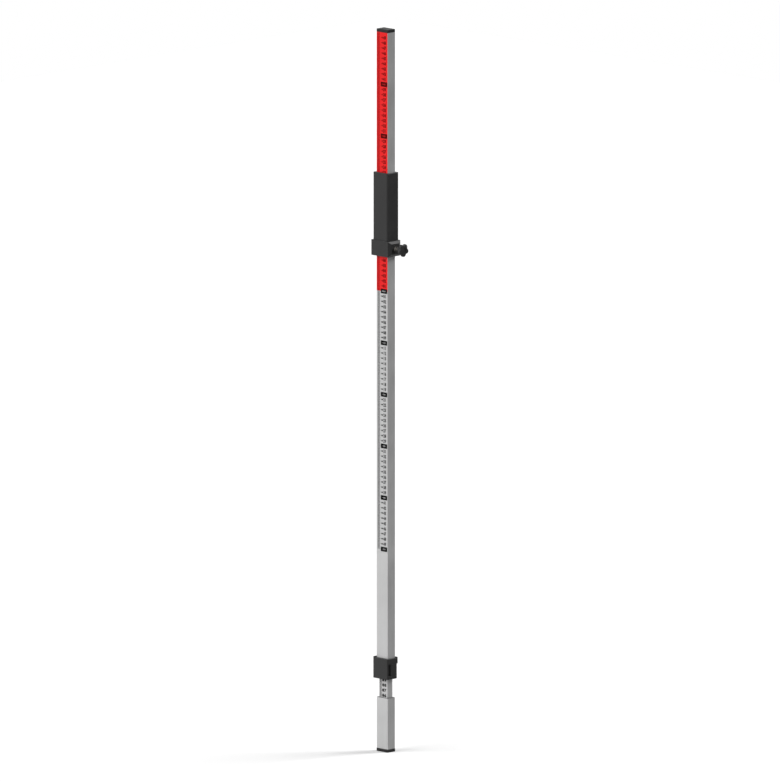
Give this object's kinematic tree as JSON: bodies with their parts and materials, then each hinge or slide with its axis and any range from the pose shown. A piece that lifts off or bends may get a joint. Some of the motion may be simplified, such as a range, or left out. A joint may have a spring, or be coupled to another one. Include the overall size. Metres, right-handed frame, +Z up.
{
  "type": "telescopic levelling staff",
  "caption": "Telescopic rectangular levelling staff with a plus and minus centimetre scale, a sliding receiver sleeve with knob clamp, a lever lock and a flat foot.",
  "frame": {"origin": "centre of the foot's flat underside, on the staff's axis", "axes": "+Z up the staff, scale facing -Y, knob and lever on the +X side"},
  "size_m": [0.0724, 0.034, 1.4],
  "materials": {
    "anodised_aluminium": "fine brushed, anodised",
    "black_plastic": "fine grained moulding",
    "guide_plastic": "smooth",
    "red_film": "printed film",
    "silver_film": "printed film",
    "rivet_metal": "bare",
    "zinc_steel": "zinc plated",
    "brake_rubber": "matt"
  },
  "bodies": {
    "foot_section": {"foot_cap": "black_plastic", "foot_tube": "anodised_aluminium", "foot_bush": "guide_plastic", "foot_rivets": "rivet_metal", "inner_tube": "anodised_aluminium", "inner_scale": "silver_film", "upper_guide": "guide_plastic"},
    "main_section": {"outer_tube": "anodised_aluminium", "top_cap": "black_plastic", "plus_scale": "red_film", "minus_scale": "silver_film", "clamp_housing": "black_plastic", "guide_bush": "guide_plastic", "clamp_screws": "zinc_steel", "lever_pin": "zinc_steel"},
    "lever": {"lock_lever": "black_plastic"},
    "brake": {"brake_shoe": "guide_plastic", "brake_pad": "brake_rubber"},
    "carriage": {"carriage_sleeve": "black_plastic", "clamp_collar": "black_plastic", "thread_bush": "zinc_steel", "collar_screws": "zinc_steel"},
    "press": {"pressure_pad": "guide_plastic"},
    "knob": {"clamp_stud": "zinc_steel", "star_knob": "black_plastic"}
  },
  "joints": [
    {"name": "extension", "type": "slide", "parent": "foot_section", "child": "main_section", "axis": [0, 0, 1], "range_m": [-0.037, 1]},
    {"name": "lever_swing", "type": "hinge", "parent": "main_section", "child": "lever", "pos_m": [0.01725, -0.0034, 0.16], "axis": [0, 0, -1], "range_deg": [0, 115]},
    {"name": "brake_slide", "type": "slide", "parent": "main_section", "child": "brake", "axis": [1, 0, 0], "range_m": [0, 0.00065]},
    {"name": "carriage_slide", "type": "slide", "parent": "main_section", "child": "carriage", "axis": [0, 0, 1], "range_m": [-0.775, 0.27]},
    {"name": "press_slide", "type": "slide", "parent": "carriage", "child": "press", "axis": [1, 0, 0], "range_m": [0, 0.0015]},
    {"name": "knob_turn", "type": "hinge", "parent": "press", "child": "knob", "pos_m": [0.045, 0, 0.9772], "axis": [1, 0, 0], "range_deg": [0, 540]}
  ],
  "couplings": [
    {"joint": "lever_swing", "follows": "brake_slide", "rad_per_m": 3087.9},
    {"joint": "knob_turn", "follows": "press_slide", "rad_per_m": 6283.2}
  ]
}
